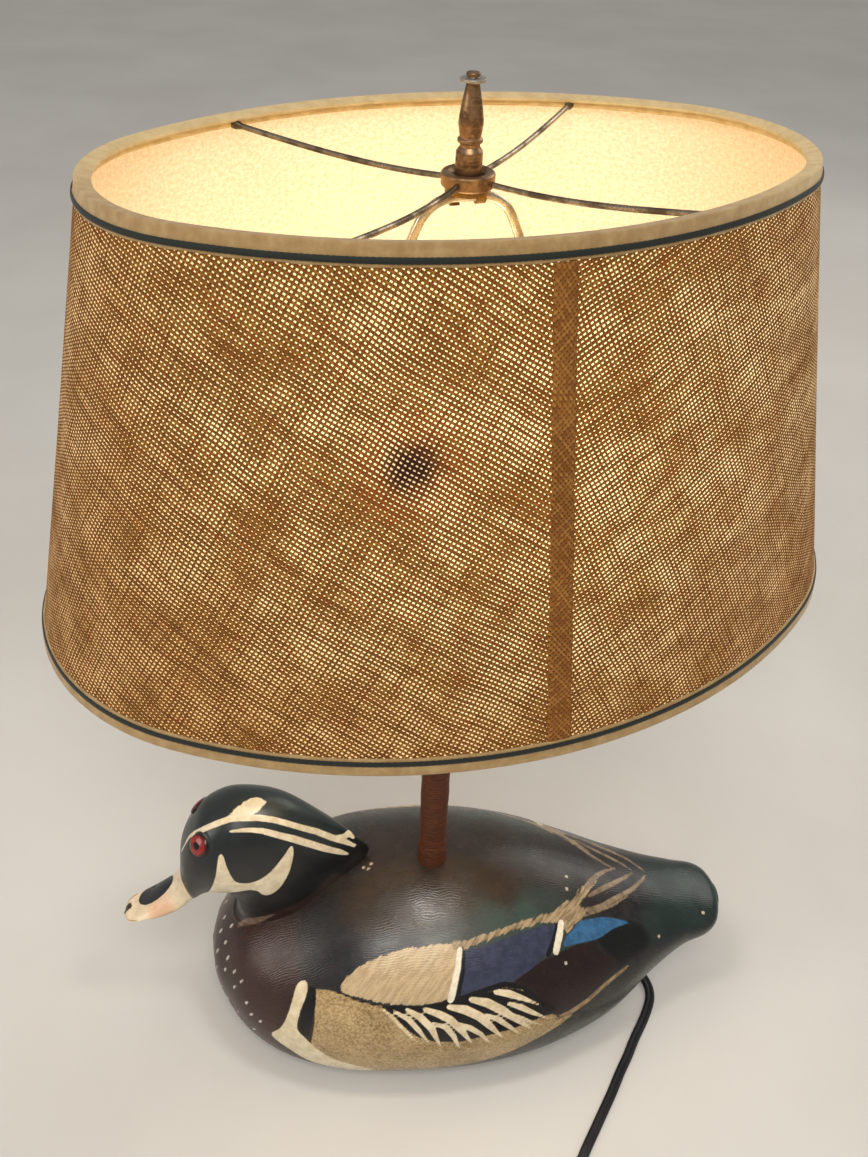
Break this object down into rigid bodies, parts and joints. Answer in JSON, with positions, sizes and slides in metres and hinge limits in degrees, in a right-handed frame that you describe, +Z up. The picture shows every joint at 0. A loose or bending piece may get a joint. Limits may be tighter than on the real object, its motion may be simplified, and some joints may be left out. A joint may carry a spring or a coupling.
{
  "type": "table lamp",
  "caption": "Table lamp with a carved and painted wood-duck decoy base, laced stem, harp, socket, bulb and an oval burlap shade under a turned finial.",
  "frame": {"origin": "on the table top, at the middle of the lamp's footprint without its lead, on the axis of the stem", "axes": "+Z up along the stem, +X from the duck's bill towards its tail, +Y towards the duck's right side"},
  "size_m": [0.3962, 0.4099, 0.5996],
  "materials": {
    "painted_wood_body": "hand-painted plumage over carved wood, satin",
    "painted_wood_head": "hand-painted crest, cheek and bill over carved wood, satin",
    "glass_eye": "red-brown glass eye with a dark pupil, glossy",
    "dowel_wood": "plain turned dowel",
    "green_felt": "pressed felt",
    "brass_pipe": "plain machined",
    "steel": "zinc plated",
    "stem_lacing": "rough red-brown lacing wound close",
    "antique_brass": "browned with age, semi-matt",
    "harp_brass": "browned with age, bright along one side",
    "socket_brass": "polished, lightly worn",
    "fibre_paper": "pressed fibre",
    "black_phenolic": "moulded, dull",
    "screw_shell_brass": "pressed sheet",
    "bulb_base_metal": "pressed thread sheet",
    "bulb_glass": "frosted white inside",
    "dark_brass_rod": "dark brown lacquered rod",
    "cream_liner": "laid paper, warm cream",
    "burlap": "coarse open weave, natural tan",
    "gold_tape": "woven tape, gold tan",
    "green_braid": "dark green braid",
    "finial_brass": "turned, worn to silver on its edges",
    "black_flex": "flat twin flex, satin",
    "clip_plastic": "moulded",
    "black_plug": "moulded, satin",
    "plug_blades": "nickel on brass"
  },
  "bodies": {
    "base": {"duck_body": "painted_wood_body", "duck_head": "painted_wood_head", "left_eye": "glass_eye", "right_eye": "glass_eye", "neck_dowel": "dowel_wood", "base_felt": "green_felt", "threaded_pipe": "brass_pipe", "pipe_washer": "steel", "pipe_nut": "brass_pipe", "stem_tube": "steel", "stem_lacing": "stem_lacing", "stem_collar": "antique_brass", "harp_saddle": "antique_brass", "harp_wire": "harp_brass", "harp_top_plate": "antique_brass", "socket_cap": "socket_brass", "socket_shell": "socket_brass", "socket_insulator": "fibre_paper", "socket_body": "black_phenolic", "socket_screw_shell": "screw_shell_brass", "socket_contact": "screw_shell_brass", "terminal_screws": "steel", "inner_lead": "black_flex", "lead_clip": "clip_plastic", "cord_lead": "black_flex", "cord_coil": "black_flex", "plug_body": "black_plug", "plug_blades": "plug_blades"},
    "sleeve_left": {"harp_sleeve_left": "harp_brass"},
    "sleeve_right": {"harp_sleeve_right": "harp_brass"},
    "switch": {"switch_knob": "black_phenolic"},
    "bulb": {"bulb_base": "bulb_base_metal", "bulb_glass": "bulb_glass"},
    "shade": {"spider_hub": "antique_brass", "spider_arms": "dark_brass_rod", "upper_rim_ring": "dark_brass_rod", "lower_rim_ring": "dark_brass_rod", "shade_liner": "cream_liner", "shade_burlap": "burlap", "shade_seam": "burlap", "upper_tape": "gold_tape", "lower_tape": "gold_tape", "upper_braid": "green_braid", "lower_braid": "green_braid"},
    "finial": {"finial": "finial_brass"}
  },
  "joints": [
    {"name": "shade_swivel", "type": "hinge", "parent": "base", "child": "shade", "pos_m": [0, 0, 0.5556], "axis": [0, 0, 1], "continuous": true},
    {"name": "finial_turn", "type": "hinge", "parent": "base", "child": "finial", "pos_m": [0, 0, 0.5646], "axis": [0, 0, 1], "continuous": true},
    {"name": "bulb_turn", "type": "hinge", "parent": "base", "child": "bulb", "pos_m": [0, 0, 0.4], "axis": [0, 0, 1], "continuous": true},
    {"name": "switch_turn", "type": "hinge", "parent": "base", "child": "switch", "pos_m": [0, 0, 0.3796], "axis": [0.2588, -0.9659, 0], "continuous": true},
    {"name": "sleeve_left_lift", "type": "slide", "parent": "base", "child": "sleeve_left", "axis": [0, 0, 1], "range_m": [0, 0.01]},
    {"name": "sleeve_right_lift", "type": "slide", "parent": "base", "child": "sleeve_right", "axis": [0, 0, 1], "range_m": [0, 0.01]}
  ]
}
